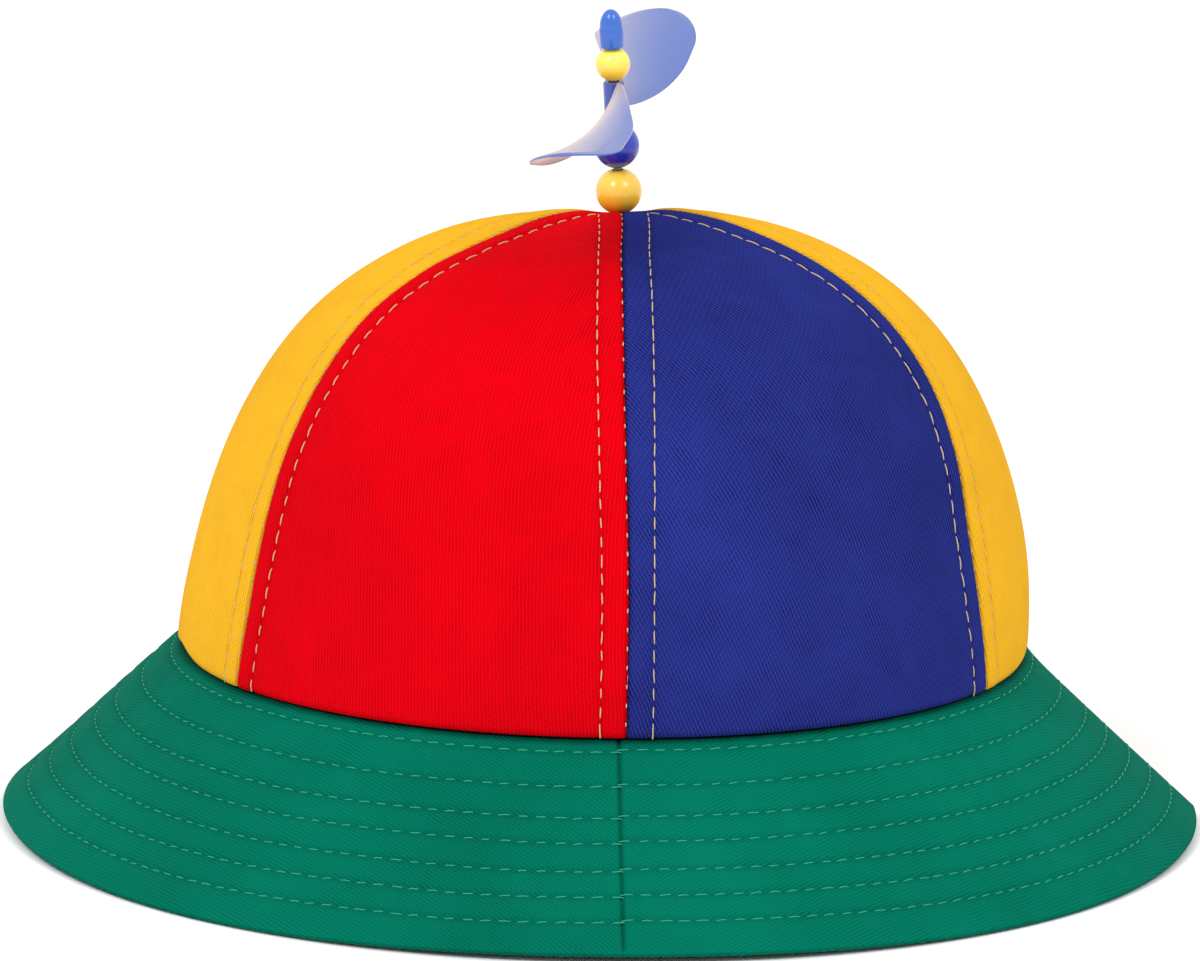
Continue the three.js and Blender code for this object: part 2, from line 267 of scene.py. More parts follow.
# %% The weave
def build_twill():
    tree, given, result = start_group(
        "Twill weave",
        [
            ("Cloth place", "NodeSocketVector", None),
            ("Rib spacing", "NodeSocketFloat", 0.8 * MM),
            ("Rib angle", "NodeSocketFloat", math.radians(117)),
            ("Waviness", "NodeSocketFloat", 0.8),
        ],
        [("Rib", "NodeSocketFloat"), ("Thread", "NodeSocketFloat")],
    )
    place = given["Cloth place"]
    cosine = calculate(tree, "COSINE", given["Rib angle"])
    sine = calculate(tree, "SINE", given["Rib angle"])
    down_rib = add_node(tree, "ShaderNodeCombineXYZ", {0: cosine, 1: sine}).outputs[0]
    minus_sine = calculate(tree, "MULTIPLY", sine, -1.0)
    over_rib = add_node(tree, "ShaderNodeCombineXYZ", {0: minus_sine, 1: cosine}).outputs[0]

    def measure(direction):
        node = add_node(
            tree, "ShaderNodeVectorMath", {0: place, 1: direction}, operation="DOT_PRODUCT"
        )
        return node.outputs["Value"]

    strayed = around_middle(tree, noise(tree, place, 220.0, 2.0), given["Waviness"])
    ribs = calculate(tree, "DIVIDE", measure(over_rib), given["Rib spacing"])
    turns = calculate(tree, "ADD", ribs, strayed)
    wave = calculate(tree, "SINE", calculate(tree, "MULTIPLY", turns, 2 * math.pi))
    patches = noise(tree, place, 140.0, 4.0)
    strength = calculate(tree, "MULTIPLY_ADD", patches, 3.2, -0.6)
    rib = calculate(tree, "MULTIPLY_ADD", wave, calculate(tree, "MULTIPLY", strength, 0.5), 0.5)
    yarn_spacing = calculate(tree, "MULTIPLY", given["Rib spacing"], 1.5)
    yarns = calculate(tree, "DIVIDE", measure(down_rib), yarn_spacing)
    offset = calculate(tree, "MULTIPLY", calculate(tree, "FLOOR", turns), 0.37)
    yarn_turns = calculate(tree, "MULTIPLY", calculate(tree, "ADD", yarns, offset), 2 * math.pi)
    yarn = calculate(tree, "MULTIPLY_ADD", calculate(tree, "SINE", yarn_turns), 0.5, 0.5)
    fuzz = noise(tree, place, 2600.0, 3.0)
    thread = calculate(
        tree, "MULTIPLY_ADD", yarn, 0.35, calculate(tree, "MULTIPLY", fuzz, 0.65)
    )
    tree.links.new(rib, result["Rib"])
    tree.links.new(thread, result["Thread"])
    return tree


twill_weave = build_twill()
print("built the group", twill_weave.name)

# %% [markdown]
# ## Tone of dyed cloth, with painted shade
# Dyed cotton is never one flat colour: larger areas differ slightly. Painted shade is added too:
# the ribs are a little lighter than the grooves between them, and stitched creases are darker,
# painted where little light gets in. One group adds all three to any dye.

# %% Tone
def build_cloth_tone():
    tree, given, result = start_group(
        "Cloth tone",
        [
            ("Dye", "NodeSocketColor", (1, 1, 1, 1)),
            ("Object place", "NodeSocketVector", None),
            ("Rib", "NodeSocketFloat", 0.5),
            ("Thread", "NodeSocketFloat", 0.5),
            ("Crease", "NodeSocketFloat", 0.0),
            ("Rib contrast", "NodeSocketFloat", 0.3),
            ("Tone change", "NodeSocketFloat", 0.12),
            ("Crease shade", "NodeSocketFloat", 0.3),
        ],
        [("Colour", "NodeSocketColor")],
    )
    slow = noise(tree, given["Object place"], 17.0, 8.0, roughness=0.62)
    change = around_middle(tree, slow, given["Tone change"])
    # Painted shade: the grooves between ribs and between yarns are darker in the colour, following the
    # bump; the fine fuzz is the yarn's own fleck.
    ribbed = around_middle(tree, given["Rib"], given["Rib contrast"])
    threaded = around_middle(tree, given["Thread"], given["Rib contrast"])
    # Painted shade: creases are darkened in the colour itself.
    shade = calculate(tree, "MULTIPLY", given["Crease"], given["Crease shade"])
    light = calculate(tree, "ADD", calculate(tree, "ADD", ribbed, threaded), change)
    value = calculate(tree, "SUBTRACT", calculate(tree, "ADD", light, 1.0), shade)
    toned = add_node(tree, "ShaderNodeHueSaturation", {"Value": value, "Color": given["Dye"]})
    tree.links.new(toned.outputs[0], result["Colour"])
    return tree


cloth_tone = build_cloth_tone()
print("built the group", cloth_tone.name)

# %% [markdown]
# ## Cloth colours
# The four cloths differ in dye, in the way their ribs run, and in how far the ribs stand out:
# on the dark blue they show most, and on the yellow hardly at all. One function mixes each cloth
# from the two groups.

# %% Mix the cloths
CLOTHS = {
    "red": {"dye": linear(203, 1, 14), "angle": 96, "rib_contrast": 0.3, "tone": 0.6, "relief": 0.9},
    "blue": {"dye": linear(34, 42, 115), "angle": 112, "rib_contrast": 0.65, "tone": 1.3, "relief": 1.0},
    "yellow": {"dye": linear(226, 168, 36), "angle": 96, "rib_contrast": 0.24, "tone": 0.4, "relief": 0.8},
    "green": {"dye": linear(1, 103, 82), "angle": 117, "rib_contrast": 0.22, "tone": 0.7, "relief": 0.7},
}
RIB_HEIGHT = 0.12 * MM


def make_cloth(name, dye, angle, rib_contrast, tone, relief):
    material, tree, shader = start_material(f"{name}_twill")
    place = add_node(tree, "ShaderNodeUVMap", uv_map="cloth").outputs[0]
    around = add_node(tree, "ShaderNodeTexCoord").outputs["Object"]
    # The painted shade mask, darkest in seams, stitch channels and the line under the crown's hem.
    painted_shade = add_node(tree, "ShaderNodeAttribute", attribute_name="painted_shade").outputs["Fac"]
    weave = use_group(tree, twill_weave, {"Cloth place": place, "Rib angle": math.radians(angle)})
    toned = use_group(tree, cloth_tone, {
        "Dye": dye,
        "Object place": around,
        "Rib": weave["Rib"],
        "Thread": weave["Thread"],
        "Crease": painted_shade,
        "Rib contrast": rib_contrast,
        "Tone change": tone,
    })
    height = calculate(tree, "MULTIPLY_ADD", weave["Thread"], 0.7, weave["Rib"])
    bump = add_node(
        tree, "ShaderNodeBump", {"Strength": relief, "Distance": RIB_HEIGHT, "Height": height}
    )
    roughness = calculate(tree, "MULTIPLY_ADD", weave["Thread"], 0.12, 0.82)
    tree.links.new(toned["Colour"], shader["Base Color"])
    tree.links.new(roughness, shader["Roughness"])
    tree.links.new(bump.outputs[0], shader["Normal"])
    shader["Specular IOR Level"].default_value = 0.02
    return material


cloths = {name: make_cloth(name, **recipe) for name, recipe in CLOTHS.items()}
print("cloths:", ", ".join(cloths))

# %% [markdown]
# ## The crown's shape
# Six panels make a dome that is rounder than a half ball: its sides rise almost straight and
# its top is nearly flat. A lathe would give the shape but not the panels, so each point is
# found from two numbers: how far it is up the dome, and how far across its panel. The top of a
# worn cloth hat is never level: this one slouches towards the back, and the pin draws it in.

# %% Dome outline
CROWN_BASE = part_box("crown_panel_right")[0][2]
HEAD_RADIUS = 94.3 * MM
CROWN_HEIGHT = 97.1 * MM
CROWN_WALL = 1.6 * MM
ROUND_OUT = 2.84
ROUND_UP = 1.83
CROWN_DRIFT = 2.4 * MM
CROWN_SLOUCH = math.radians(12)
BACK_SLOUCH = math.radians(16)
SLOUCH_POWER = 4
FRONT_RIM = 14 * MM
PIN_DIMPLE = 1.3 * MM
PIN_DIMPLE_RADIUS = 12 * MM
PANEL_PUFF = 0.6 * MM
PIN_HOLE_RADIUS = 1.5 * MM
PANEL_HALF_ANGLE = math.radians(30)
DOME_SAMPLES = 4000


def dome_table():
    top = math.acos((PIN_HOLE_RADIUS / HEAD_RADIUS) ** (ROUND_OUT / 2))
    angle = np.linspace(0, top, DOME_SAMPLES)
    across = np.cos(angle) ** (2 / ROUND_OUT)
    up = np.sin(angle) ** (2 / ROUND_UP)
    face = np.stack([
        ROUND_OUT / HEAD_RADIUS * across ** (ROUND_OUT - 1),
        ROUND_UP / CROWN_HEIGHT * up ** (ROUND_UP - 1),
    ])
    face /= np.linalg.norm(face, axis=0)
    radius = HEAD_RADIUS * across
    height = CROWN_HEIGHT * up
    arc = np.concatenate([[0], np.cumsum(np.hypot(np.diff(radius), np.diff(height)))])
    return {
        "radius": radius,
        "height": height,
        "out": face[0],
        "up": face[1],
        "arc": arc,
        "rise": angle / top,
    }


DOME = dome_table()
DOME_ARC = float(DOME["arc"][-1])


def dome_at(arc, column):
    return np.interp(arc, DOME["arc"], DOME[column])


print("a panel is", round(DOME_ARC / MM, 1), "mm long from its hem to the pin")

# %% [markdown]
# ## Sewing relief
# Where two panels are sewn together their raw edges fold back inside, so the cloth stands a
# little higher on both sides of the seam, as far as the row of topstitching. The seam itself is
# a sharp valley, and each row of stitches pulls a shallow channel with small puckers beside it.
# These are too large for a bump, so they are in the mesh. A seam that is guided by hand strays
# a little as well: the three seams in front each get a smooth curve through a few points.

# %% Relief over a panel
TOPSTITCH_OFFSET = 5.6 * MM
ALLOWANCE_RISE = 0.32 * MM
VALLEY_DEPTH = 0.55 * MM
VALLEY_WIDTH = 0.55 * MM
CHANNEL_DEPTH = 0.34 * MM
CHANNEL_WIDTH = 0.75 * MM
PUCKER_RISE = 0.10 * MM
PUCKER_LENGTH = 8 * MM
CROWN_UNEVENNESS = 0.28 * MM
HEM_ROLL = 1.6 * MM
HEM_DEPTH = 0.6 * MM


# How far each seam strays from its straight course, in millimetres, at shares of the way up.
# Seams are counted from the front one towards +X.
SWAY_AT = [0, 0.14, 0.26, 0.37, 0.49, 0.61, 0.72, 0.84, 1]
SEAM_SWAY = {
    0: [-0.7, -1.6, -2.2, -2.7, -2.9, -2.8, -2.4, -1.8, 0],
    1: [-1.8, -4.6, -4.0, 0.2, 3.8, 4.9, 3.2, 0.6, 0],
    5: [-1.5, -1.5, -3.0, -4.8, -5.6, -5.0, -1.6, 2.0, 0],
}


def panel_middle(index):
    return -math.pi / 2 + (2 * index + 1) * PANEL_HALF_ANGLE


def seam_sway(seam, arc):
    table = SEAM_SWAY.get(seam % 6, [0] * len(SWAY_AT))
    return MM * smooth_curve(dome_at(arc, "rise"), SWAY_AT, table)


def crown_relief(to_seam, arc, seed):
    """How far the outside stands out, and how much shade is painted there, from 0 to 1."""
    valley = np.exp(-((to_seam / VALLEY_WIDTH) ** 2))
    allowance = smooth_step((TOPSTITCH_OFFSET - to_seam) / (0.8 * MM) + 0.5)
    channel = np.exp(-(((to_seam - TOPSTITCH_OFFSET) / CHANNEL_WIDTH) ** 2))
    near_stitches = np.exp(-(((to_seam - TOPSTITCH_OFFSET) / (5 * MM)) ** 2))
    puckers = ripples(to_seam * 0.35, arc, PUCKER_LENGTH, seed, 6)
    uneven = ripples(to_seam, arc, 45 * MM, seed + 50)
    hem = (1 - np.clip(arc / HEM_ROLL, 0, 1)) ** 2
    lift = (
        ALLOWANCE_RISE * allowance
        - VALLEY_DEPTH * valley
        - CHANNEL_DEPTH * channel
        + PUCKER_RISE * puckers * near_stitches
        + CROWN_UNEVENNESS * uneven * smooth_step(arc / (20 * MM))
        - HEM_DEPTH * hem
    )
    # Painted shade: darkest in the seam's valley, weaker in the stitch channels and the rolled hem.
    painted_shade = np.clip(valley + 0.55 * channel + 0.5 * hem, 0, 1)
    return lift, painted_shade


def crown_points(index, side, arc, lift, gap):
    """Points of one panel. Side is from -1 to 1 between its seams."""
    radius = dome_at(arc, "radius")
    height = dome_at(arc, "height")
    out = dome_at(arc, "out")
    up = dome_at(arc, "up")
    dip = PANEL_PUFF * side**2 * np.sin(np.pi * dome_at(arc, "rise"))
    distance = np.maximum(radius + (lift - dip) * out, 0.6 * MM)
    half_angle = PANEL_HALF_ANGLE - np.arcsin(np.clip(gap / 2 / distance, 0, 0.45))
    sway = 0.5 * (1 - side) * seam_sway(index, arc) + 0.5 * (1 + side) * seam_sway(index + 1, arc)
    direction = panel_middle(index) + side * half_angle + sway / np.maximum(radius, 10 * MM)
    height_share = height / CROWN_HEIGHT
    drift = CROWN_DRIFT * (1 - (1 - height_share) ** 3)
    forward = -distance * np.sin(direction)
    front = math.tan(CROWN_SLOUCH) * forward * np.exp(-((forward / FRONT_RIM) ** 2))
    back = math.tan(BACK_SLOUCH) * forward * height_share**SLOUCH_POWER
    slouch = np.where(forward > 0, front, back)
    dimple = PIN_DIMPLE * np.clip(1 - (radius / PIN_DIMPLE_RADIUS) ** 2, 0, 1) ** 2
    return np.stack([
        distance * np.cos(direction) + drift,
        -forward,
        CROWN_BASE + height + (lift - dip) * up + slouch - dimple,
    ], axis=-1)


print("seam valley is", VALLEY_DEPTH / MM, "mm deep, stitch channel", CHANNEL_DEPTH / MM, "mm")

# %% [markdown]
# ## The panels
# Each panel is a closed wall of cloth, 1.6 mm thick with its seam allowances. Its columns crowd
# together near the seams, where the relief is finest.

# %% Cut the six panels
PANELS = [
    ("crown_panel_front_right", "blue"),
    ("crown_panel_right", "yellow"),
    ("crown_panel_back_right", "red"),
    ("crown_panel_back_left", "blue"),
    ("crown_panel_left", "yellow"),
    ("crown_panel_front_left", "red"),
]
PANEL_ROWS = 128
PANEL_COLUMNS = 112
CLOTH_SEAM_GAP = 0.12 * MM


def panel_seed(index):
    return 10 * index + 1


def panel_sides():
    """Places across a panel, closer together towards both seams."""
    even = np.linspace(-1, 1, PANEL_COLUMNS + 1)
    return 0.5 * even + 0.5 * np.sin(even * math.pi / 2)


def panel_arcs():
    """Places up a panel, closer together where the hem rolls in."""
    hem = np.array([0.0, 0.12, 0.3, 0.5, 0.75]) * HEM_ROLL
    return np.concatenate([hem, np.linspace(HEM_ROLL, DOME_ARC, PANEL_ROWS)])


def cut_panel(index, name, colour):
    arc, side = np.meshgrid(panel_arcs(), panel_sides(), indexing="ij")
    half_width = dome_at(arc, "radius") * PANEL_HALF_ANGLE
    to_seam = (1 - np.abs(side)) * half_width
    lift, painted_shade = crown_relief(to_seam, arc, panel_seed(index))
    outer = crown_points(index, side, arc, lift, CLOTH_SEAM_GAP)
    inside = np.full_like(lift, -CROWN_WALL)
    inner = crown_points(index, side, arc, inside, CLOTH_SEAM_GAP)
    mesh = wall_mesh(name + "_cloth", outer, inner)
    write_cloth_map(mesh, np.tile((side * half_width).ravel(), 2), np.tile(arc.ravel(), 2))
    write_mask(mesh, "painted_shade", np.concatenate([painted_shade.ravel(), np.zeros(painted_shade.size)]))
    piece = add_object(name + "_cloth", mesh, cloths[colour])
    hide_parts(name)
    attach(piece, "hat")
    return piece


panels = [cut_panel(index, name, colour) for index, (name, colour) in enumerate(PANELS)]
print("panels:", len(panels), "with", len(panels[0].data.polygons), "faces each")

# %% [markdown]
# ## The brim's shape
# The brim is a sloping ring of two cloth layers, sewn together by seven rows of stitches. Between
# the rows it swells a little, and its edge is slightly wavy. On the +X side it was once folded
# flat: the relief is pressed out there, and behind the crease the brim is drawn in. Its place
# is told by the distance down its slope and the direction, as a maker would chalk it.

# %% Brim relief
BRIM_TOP_RADIUS = 93.6 * MM
BRIM_TOP_HEIGHT = 38.8 * MM
BRIM_EDGE_ROUND = 0.9 * MM
BRIM_EDGE_RADIUS = 131.9 * MM
BRIM_WALL = 2.2 * MM
BRIM_RUN = BRIM_EDGE_RADIUS - BRIM_TOP_RADIUS
BRIM_FALL = BRIM_TOP_HEIGHT - BRIM_EDGE_ROUND
BRIM_ROUND_TURN = math.asin(BRIM_EDGE_ROUND / math.hypot(BRIM_RUN, BRIM_FALL))
BRIM_SLOPE = math.atan2(BRIM_FALL, BRIM_RUN) - BRIM_ROUND_TURN
BRIM_SLANT = math.hypot(
    BRIM_EDGE_RADIUS + BRIM_EDGE_ROUND * math.sin(BRIM_SLOPE) - BRIM_TOP_RADIUS,
    BRIM_TOP_HEIGHT - BRIM_EDGE_ROUND * (1 + math.cos(BRIM_SLOPE)),
)
BRIM_SEAM = math.radians(-91.4)
STITCH_ROWS = [slant * MM for slant in (2.9, 11.7, 19.6, 26.0, 33.2, 39.8, 46.4)]
ROW_STEP_AT_SEAM = 0.7 * MM
ROW_DEPTH = 0.32 * MM
ROW_WIDTH = 0.8 * MM
SWELL = 0.16 * MM
BRIM_PUCKER = 0.11 * MM
UNDER_CROWN = 1.3 * MM
UNDER_CROWN_DEPTH = 0.5 * MM
BRIM_SEAM_DEPTH = 0.6 * MM
BRIM_SEAM_WIDTH = 0.5 * MM
PRESSED_RISE = 0.2 * MM
PRESSED_WIDTH = 6 * MM
BRIM_UNEVENNESS = 0.35 * MM
EDGE_WAVE = 0.6 * MM
FOLD_DIRECTION = math.radians(-2)
FOLD_TURN = math.radians(15)
FOLD_END = math.radians(80)
FOLD_START_SLANT = 14 * MM


def past_fold(around):
    """Angle past the crease on the brim's +X side, from minus to plus half a turn."""
    return (BRIM_SEAM + around - FOLD_DIRECTION + math.pi) % (2 * math.pi) - math.pi


def row_slant(row, around):
    """Slant of a row of stitches, which comes round to the seam a little lower than it began."""
    return row + ROW_STEP_AT_SEAM * (around / (2 * math.pi) - 0.5)


def brim_relief(slant, around):
    """Around is the angle past the brim's seam. Gives the lift and the painted shade, as for the crown."""
    channel = np.zeros(np.broadcast(slant, around).shape)
    for row in STITCH_ROWS:
        channel += np.exp(-(((slant - row_slant(row, around)) / ROW_WIDTH) ** 2))
    radius = BRIM_TOP_RADIUS + slant * math.cos(BRIM_SLOPE)
    past_seam = (around + math.pi) % (2 * math.pi) - math.pi
    seam = np.exp(-((past_seam * radius / BRIM_SEAM_WIDTH) ** 2))
    pressed = np.exp(-((past_seam * radius / PRESSED_WIDTH) ** 2))
    along = past_seam * BRIM_EDGE_RADIUS
    fade = smooth_step((math.pi - np.abs(past_seam)) / 0.1)
    puckers = ripples(slant * 0.3, along, 9 * MM, 71, 8) * fade
    uneven = ripples(slant, along, 55 * MM, 72) * fade
    swelling = smooth_step(slant / (6 * MM)) * smooth_step((BRIM_SLANT - slant) / (2 * MM))
    lift = (
        SWELL * swelling * (1 - channel)
        - ROW_DEPTH * channel
        + PRESSED_RISE * pressed
        - BRIM_SEAM_DEPTH * seam
        + BRIM_PUCKER * puckers
        + BRIM_UNEVENNESS * uneven * smooth_step(slant / (12 * MM))
    )
    lift *= 1 - 0.8 * np.exp(-((past_fold(around) / FOLD_TURN) ** 2))
    under_crown = np.exp(-((slant / UNDER_CROWN) ** 2))
    lift -= UNDER_CROWN_DEPTH * under_crown
    # Painted shade: in the stitch channels and the seam, and twice as strong where the brim dips under the
    # crown's hem.
    return lift, np.clip(0.55 * channel + seam, 0, 1) + 2 * under_crown


def edge_wave(around):
    return EDGE_WAVE * (1 + np.cos(4 * (BRIM_SEAM + around)))


def side_fold(slant, around):
    """How far the brim is drawn in behind the crease on its +X side."""
    past = past_fold(around)
    behind = np.clip(past, 0, FOLD_TURN)
    drawn = FOLD_TURN * behind - behind**2 / 2
    fade = smooth_step((FOLD_END - past) / (FOLD_END - FOLD_TURN)) * (past > 0)
    return BRIM_EDGE_RADIUS * drawn * fade * smooth_step(slant / FOLD_START_SLANT)


def brim_points(slant, around, lift):
    """Points over the slope of the brim, that far above it."""
    direction = BRIM_SEAM + around
    radius = BRIM_TOP_RADIUS + slant * math.cos(BRIM_SLOPE) + lift * math.sin(BRIM_SLOPE)
    radius = radius - side_fold(slant, around)
    height = BRIM_TOP_HEIGHT - slant * math.sin(BRIM_SLOPE) + lift * math.cos(BRIM_SLOPE)
    height = height + edge_wave(around) * (slant / BRIM_SLANT) ** 2
    return np.stack([radius * np.cos(direction), radius * np.sin(direction), height], axis=-1)


print("the brim slopes down", round(BRIM_SLANT / MM, 1), "mm to its edge")

# %% [markdown]
# ## The brim's cloth
# Below the slope comes a rounded edge, where the upper layer turns under and the lower layer
# just shows as a fine line. The whole is again a wall between two grids, but its columns close
# into a ring, with a few more of them on both sides of the seam.

# %% Make the brim
BRIM_ROWS = 84
BRIM_COLUMNS = 480
EDGE_ROWS = 7
LAYER_LINE = 0.22 * MM
BRIM_GRAIN = math.radians(-10)


def brim_directions():
    even = np.linspace(0, 2 * math.pi, BRIM_COLUMNS, endpoint=False)
    beside_seam = np.array([0.1, 0.25, 0.4, 0.6, 0.85, 1.2, 1.6, 2.2, 3.0]) * MM / BRIM_TOP_RADIUS
    return np.unique(np.concatenate([even, beside_seam, 2 * math.pi - beside_seam]))


def brim_edge(around):
    """Rows of points round the brim's edge, from the slope down to the foot."""
    direction = BRIM_SEAM + around
    start = math.pi / 2 - BRIM_SLOPE
    rows = []
    for step in range(1, EDGE_ROWS + 1):
        angle = start - (math.pi / 2 + start) * step / EDGE_ROWS
        groove = LAYER_LINE if step == EDGE_ROWS // 2 + 1 else 0
        radius = BRIM_EDGE_RADIUS + (BRIM_EDGE_ROUND - groove) * math.cos(angle)
        radius = radius - side_fold(BRIM_SLANT, around)
        height = BRIM_EDGE_ROUND + (BRIM_EDGE_ROUND - groove) * math.sin(angle) + edge_wave(around)
        rows.append(np.stack([radius * np.cos(direction), radius * np.sin(direction), height], axis=-1))
    return np.stack(rows)


def make_brim():
    slant, around = np.meshgrid(
        np.linspace(0, BRIM_SLANT, BRIM_ROWS), brim_directions(), indexing="ij"
    )
    lift, painted_shade = brim_relief(slant, around)
    lift *= smooth_step((BRIM_SLANT - slant) / (1.5 * MM))
    outer = np.concatenate([brim_points(slant, around, lift), brim_edge(around[0])])
    under_top = -BRIM_WALL / math.tan(BRIM_SLOPE)
    under_foot = (BRIM_TOP_HEIGHT - BRIM_WALL * math.cos(BRIM_SLOPE)) / math.sin(BRIM_SLOPE)
    under_slant, under_around = np.meshgrid(
        np.linspace(under_top, under_foot, BRIM_ROWS + EDGE_ROWS), around[0], indexing="ij"
    )
    under = brim_points(under_slant, under_around, np.full_like(under_slant, -BRIM_WALL))
    mesh = wall_mesh("brim_cloth", outer, under, closed_round=True)
    mesh.flip_normals()
    edge_slant = np.broadcast_to(
        BRIM_SLANT + BRIM_EDGE_ROUND * np.arange(1, EDGE_ROWS + 1)[:, None] * 0.3,
        (EDGE_ROWS, around.shape[1]),
    )
    all_slant = np.concatenate([slant.ravel(), edge_slant.ravel(), under_slant.ravel()])
    all_around = np.concatenate([around.ravel(), np.tile(around[0], EDGE_ROWS), under_around.ravel()])
    flat_radius = BRIM_TOP_RADIUS / math.cos(BRIM_SLOPE) + all_slant
    flat_angle = all_around * math.cos(BRIM_SLOPE) + BRIM_GRAIN
    write_cloth_map(mesh, flat_radius * np.cos(flat_angle), flat_radius * np.sin(flat_angle))
    plain = np.zeros(all_slant.size - painted_shade.size)
    write_mask(mesh, "painted_shade", np.concatenate([painted_shade.ravel(), plain]))
    return add_object("brim_cloth", mesh, cloths["green"])


brim = make_brim()
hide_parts("brim")
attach(brim, "hat")

# %% [markdown]
# ## Moulded plastic
# The beads, the cap and the propeller come out of moulds. Their plastic is smooth, with a
# faint waviness where it cooled, specks of pigment, and hair-fine scratches that only show in a
# highlight. One group gives all of that, and each material sets its own colour and strength.

# %% The plastic group
def build_plastic():
    tree, given, result = start_group(
        "Moulded plastic",
        [
            ("Colour", "NodeSocketColor", (1, 1, 1, 1)),
            ("Deep colour and shade", "NodeSocketColor", (1, 1, 1, 1)),
            ("Depth", "NodeSocketFloat", 0.0),
            ("Object place", "NodeSocketVector", None),
            ("Speckle", "NodeSocketFloat", 0.06),
            ("Roughness", "NodeSocketFloat", 0.25),
            ("Scratches", "NodeSocketFloat", 0.1),
        ],
        [("Colour", "NodeSocketColor"), ("Roughness", "NodeSocketFloat"), ("Height", "NodeSocketFloat")],
    )
    place = given["Object place"]
    specks = noise(tree, place, 900.0, 2.0)
    cooling = noise(tree, place, 130.0, 1.0)
    stretched = add_node(
        tree, "ShaderNodeMapping", {"Vector": place, "Rotation": (0.6, 0.3, 0.9), "Scale": (1, 14, 1)}
    ).outputs[0]
    scratches = noise(tree, stretched, 700.0, 2.0)
    # The depth mask blends in the deep colour: painted shade on the beads, the thicker plastic near the
    # hub on the propeller.
    base = blend_colours(tree, given["Depth"], given["Colour"], given["Deep colour and shade"])
    value = calculate(tree, "ADD", around_middle(tree, specks, given["Speckle"]), 1.0)
    toned = add_node(tree, "ShaderNodeHueSaturation", {"Value": value, "Color": base})
    scratched = around_middle(tree, scratches, given["Scratches"])
    rough = calculate(tree, "ADD", given["Roughness"], scratched)
    height = calculate(tree, "MULTIPLY_ADD", scratches, 0.15, cooling)
    tree.links.new(toned.outputs[0], result["Colour"])
    tree.links.new(rough, result["Roughness"])
    tree.links.new(height, result["Height"])
    return tree


moulded_plastic = build_plastic()


def make_plastic(name, colour, deep_and_shade, roughness=0.22, depth_and_shade_attribute=None, sheen_tint=None):
    """Sheen tint is the colour of the soft bloom on milky plastic, which shows most edge on."""
    material, tree, shader = start_material(name + "_plastic")
    around = add_node(tree, "ShaderNodeTexCoord").outputs["Object"]
    inputs = {"Object place": around, "Colour": colour, "Deep colour and shade": deep_and_shade, "Roughness": roughness}
    # On the beads this mask is painted shade; on the propeller it is the plastic's thickness.
    if depth_and_shade_attribute:
        depth_and_shade = add_node(tree, "ShaderNodeAttribute", attribute_name=depth_and_shade_attribute)
        inputs["Depth"] = depth_and_shade.outputs["Fac"]
    plastic = use_group(tree, moulded_plastic, inputs)
    bump = add_node(
        tree, "ShaderNodeBump", {"Strength": 0.25, "Distance": 0.05 * MM, "Height": plastic["Height"]}
    )
    tree.links.new(plastic["Colour"], shader["Base Color"])
    tree.links.new(plastic["Roughness"], shader["Roughness"])
    tree.links.new(bump.outputs[0], shader["Normal"])
    shader["Coat Weight"].default_value = 0.3
    shader["Coat Roughness"].default_value = 0.12
    if sheen_tint:
        shader["Sheen Weight"].default_value = 1.0
        shader["Sheen Roughness"].default_value = 0.3
        shader["Sheen Tint"].default_value = sheen_tint
    return material


print("built the group", moulded_plastic.name)

# %% [markdown]
# ## The leaning stack
# Beads, propeller and cap share one pin that leans a little to the left and towards the viewer.
# Each is turned on a lathe upright, as a maker would do it, and only then leaned, by moving its
# points. Its object stays at the origin, so that its finish does not slide when it moves.

# %% A lathe for the stack
STACK_FOOT = Vector((CROWN_DRIFT, 0, CROWN_BASE + CROWN_HEIGHT - PIN_DIMPLE))
PIN_LEAN = math.radians(3.8)
PIN_TILT = math.radians(6)
CLOTH_SLANT = PIN_TILT + CROWN_SLOUCH
STACK = (
    Matrix.Translation(STACK_FOOT)
    @ Matrix.Rotation(PIN_TILT, 4, "X")
    @ Matrix.Rotation(-PIN_LEAN, 4, "Y")
)
LATHE_STEPS = 72
SHARP_EDGE = math.radians(38)


def lathe_mesh(name, outline):
    """Mesh turned from a closed outline of radius and height, or one that ends on the axis."""
    points = []
    rings = []
    for radius, height in outline:
        count = LATHE_STEPS if radius > 1e-7 else 1
        rings.append(range(len(points), len(points) + count))
        for step in range(count):
            angle = 2 * math.pi * step / LATHE_STEPS
            points.append(STACK @ Vector((radius * math.cos(angle), radius * math.sin(angle), height)))
    pairs = list(zip(rings, rings[1:]))
    if outline[0][0] > 1e-7:
        pairs.append((rings[-1], rings[0]))
    faces = []
    for lower, upper in pairs:
        for step in range(LATHE_STEPS):
            after = (step + 1) % LATHE_STEPS
            corners = [
                lower[step % len(lower)],
                lower[after % len(lower)],
                upper[after % len(upper)],
                upper[step % len(upper)],
            ]
            faces.append(list(dict.fromkeys(corners)))
    mesh = bpy.data.meshes.new(name)
    mesh.from_pydata(points, [], [corners for corners in faces if len(corners) > 2])
    return mesh


def finish_plastic(name, mesh, material, node, body):
    piece = add_object(name, mesh, material)
    mesh.set_sharp_from_angle(angle=SHARP_EDGE)
    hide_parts(node)
    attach(piece, body)
    return piece


print("the pin's foot is at", [round(v / MM, 1) for v in STACK_FOOT], "mm")

# %% [markdown]
# ## Beads
# The beads are glossy and drilled. A ball with a hole is one outline: round the outside, over
# a softened rim, and back down the bore. A hair-fine parting line runs where the two halves of
# the mould met. Each bead is painted a deeper colour towards its bottom: painted shade.

